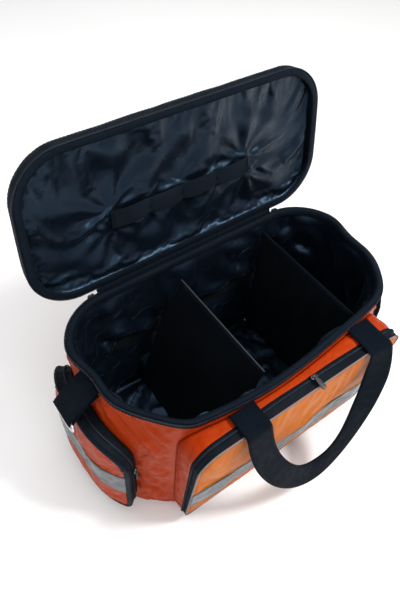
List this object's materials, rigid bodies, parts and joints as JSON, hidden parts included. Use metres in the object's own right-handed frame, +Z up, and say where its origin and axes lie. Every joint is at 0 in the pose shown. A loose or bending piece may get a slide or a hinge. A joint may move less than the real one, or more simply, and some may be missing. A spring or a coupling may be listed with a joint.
{
  "type": "trauma bag",
  "caption": "Soft open-topped first-responder holdall with a standing zip lid, movable dividers, zip pockets, D-ring tabs and webbing handles.",
  "frame": {"origin": "middle of the body plan, on the underside", "axes": "+X along the bag, -Y out of the front pocket, +Y towards the lid hinge, +Z up"},
  "size_m": [0.535, 0.3769, 0.4779],
  "materials": {
    "amber_fabric": "coated woven nylon, lighter orange",
    "base_board": "cloth-covered board",
    "black_trim": "woven binding",
    "divider_cloth": "matt brushed cloth over a stiffener",
    "foam": "soft padding",
    "grey_edging": "woven edging",
    "hook_and_loop": "hook-and-loop pile",
    "orange_fabric": "coated woven nylon, slight sheen",
    "pull_plastic": "matt",
    "reflective_tape": "grey retroreflective tape",
    "satin_lining": "satin lining, blue-black with a strong sheen",
    "steel": "nickel-plated",
    "webbing": "woven polypropylene webbing",
    "zip_nylon": "coil zip"
  },
  "bodies": {
    "bag": {"base_board": "base_board", "body_foam": "foam", "body_lining": "satin_lining", "body_shell": "orange_fabric", "d_ring_tab_left": "webbing", "d_ring_tab_right": "webbing", "end_pocket_left_gusset": "black_trim", "end_pocket_left_panel": "orange_fabric", "end_pocket_left_strip": "reflective_tape", "end_pocket_left_zip_chain": "zip_nylon", "end_pocket_right_gusset": "black_trim", "end_pocket_right_panel": "orange_fabric", "end_pocket_right_strip": "reflective_tape", "end_pocket_right_zip_chain": "zip_nylon", "front_pocket_gusset": "black_trim", "front_pocket_panel": "amber_fabric", "front_pocket_piping": "reflective_tape", "front_pocket_strip": "reflective_tape", "front_pocket_zip_chain": "zip_nylon", "handle_back_strap_left": "webbing", "handle_back_strap_right": "webbing", "handle_front_strap_left": "webbing", "handle_front_strap_right": "webbing", "hinge_piping": "black_trim", "loop_strip_back": "hook_and_loop", "loop_strip_front": "hook_and_loop", "rim_binding": "black_trim", "rim_zip_chain": "zip_nylon"},
    "lid": {"lid_shell": "orange_fabric", "lid_foam": "foam", "lid_lining": "satin_lining", "lid_binding": "black_trim", "lid_zip_chain": "zip_nylon", "lid_elastic": "black_trim"},
    "handle_front": {"handle_front": "webbing"},
    "handle_back": {"handle_back": "webbing"},
    "d_ring_left": {"d_ring_left": "steel"},
    "d_ring_right": {"d_ring_right": "steel"},
    "divider_left": {"divider_left": "divider_cloth", "divider_left_edge": "grey_edging", "divider_left_hook_back": "hook_and_loop", "divider_left_hook_front": "hook_and_loop"},
    "divider_right": {"divider_right": "divider_cloth", "divider_right_edge": "black_trim", "divider_right_hook_back": "hook_and_loop", "divider_right_hook_front": "hook_and_loop"},
    "front_pocket_slider": {"front_pocket_slider": "steel"},
    "front_pocket_pull": {"front_pocket_pull": "pull_plastic"},
    "end_pocket_left_slider": {"end_pocket_left_slider": "steel"},
    "end_pocket_left_pull": {"end_pocket_left_pull": "pull_plastic"},
    "end_pocket_right_slider": {"end_pocket_right_slider": "steel"},
    "end_pocket_right_pull": {"end_pocket_right_pull": "pull_plastic"},
    "main_slider_left": {"main_slider_left": "steel"},
    "main_pull_left": {"main_pull_left": "pull_plastic"},
    "main_slider_right": {"main_slider_right": "steel"},
    "main_pull_right": {"main_pull_right": "pull_plastic"}
  },
  "joints": [
    {"name": "lid_hinge", "type": "hinge", "parent": "bag", "child": "lid", "pos_m": [0, 0.1085, 0.2578], "axis": [-1, 0, 0], "range_deg": [-98, 42]},
    {"name": "handle_front_swing", "type": "hinge", "parent": "bag", "child": "handle_front", "pos_m": [0.012, -0.1663, 0.235], "axis": [-1, 0, 0], "range_deg": [-18, 170]},
    {"name": "handle_back_swing", "type": "hinge", "parent": "bag", "child": "handle_back", "pos_m": [0.012, 0.1088, 0.205], "axis": [1, 0, 0], "range_deg": [0, 86]},
    {"name": "d_ring_left_swing", "type": "hinge", "parent": "bag", "child": "d_ring_left", "pos_m": [-0.2635, 0, 0.204], "axis": [0, 1, 0], "range_deg": [-8, 140]},
    {"name": "d_ring_right_swing", "type": "hinge", "parent": "bag", "child": "d_ring_right", "pos_m": [0.2635, 0, 0.204], "axis": [0, -1, 0], "range_deg": [-8, 140]},
    {"name": "divider_left_slide", "type": "slide", "parent": "bag", "child": "divider_left", "axis": [1, 0, 0], "range_m": [-0.025, 0.045]},
    {"name": "divider_right_slide", "type": "slide", "parent": "bag", "child": "divider_right", "axis": [1, 0, 0], "range_m": [-0.055, 0.015]},
    {"name": "front_pocket_zip", "type": "slide", "parent": "bag", "child": "front_pocket_slider", "axis": [1, 0, 0], "range_m": [-0.065, 0.065]},
    {"name": "front_pocket_pull_swing", "type": "hinge", "parent": "front_pocket_slider", "child": "front_pocket_pull", "pos_m": [0.012, -0.14638, 0.2379], "axis": [-1, 0, 0], "range_deg": [0, 100]},
    {"name": "end_pocket_left_zip", "type": "slide", "parent": "bag", "child": "end_pocket_left_slider", "axis": [0, 0, 1], "range_m": [-0.085, 0]},
    {"name": "end_pocket_left_pull_swing", "type": "hinge", "parent": "end_pocket_left_slider", "child": "end_pocket_left_pull", "pos_m": [-0.21597, -0.0898, 0.138], "axis": [-0.7753, -0.6316, 0], "range_deg": [0, 150]},
    {"name": "main_slider_left_travel", "type": "hinge", "parent": "bag", "child": "main_slider_left", "pos_m": [-0.15, 0.024, 0.2502], "axis": [0, 0, 1], "range_deg": [0, 77]},
    {"name": "main_pull_left_swing", "type": "hinge", "parent": "main_slider_left", "child": "main_pull_left", "pos_m": [-0.16222, 0.11095, 0.2502], "axis": [0.9903, 0.1392, 0], "range_deg": [0, 100]},
    {"name": "end_pocket_right_zip", "type": "slide", "parent": "bag", "child": "end_pocket_right_slider", "axis": [0, 0, 1], "range_m": [-0.085, 0]},
    {"name": "end_pocket_right_pull_swing", "type": "hinge", "parent": "end_pocket_right_slider", "child": "end_pocket_right_pull", "pos_m": [0.21597, -0.0898, 0.138], "axis": [-0.7753, 0.6316, 0], "range_deg": [0, 150]},
    {"name": "main_slider_right_travel", "type": "hinge", "parent": "bag", "child": "main_slider_right", "pos_m": [0.15, 0.024, 0.2502], "axis": [0, 0, -1], "range_deg": [0, 77]},
    {"name": "main_pull_right_swing", "type": "hinge", "parent": "main_slider_right", "child": "main_pull_right", "pos_m": [0.16222, 0.11095, 0.2502], "axis": [0.9903, -0.1392, 0], "range_deg": [0, 100]}
  ]
}
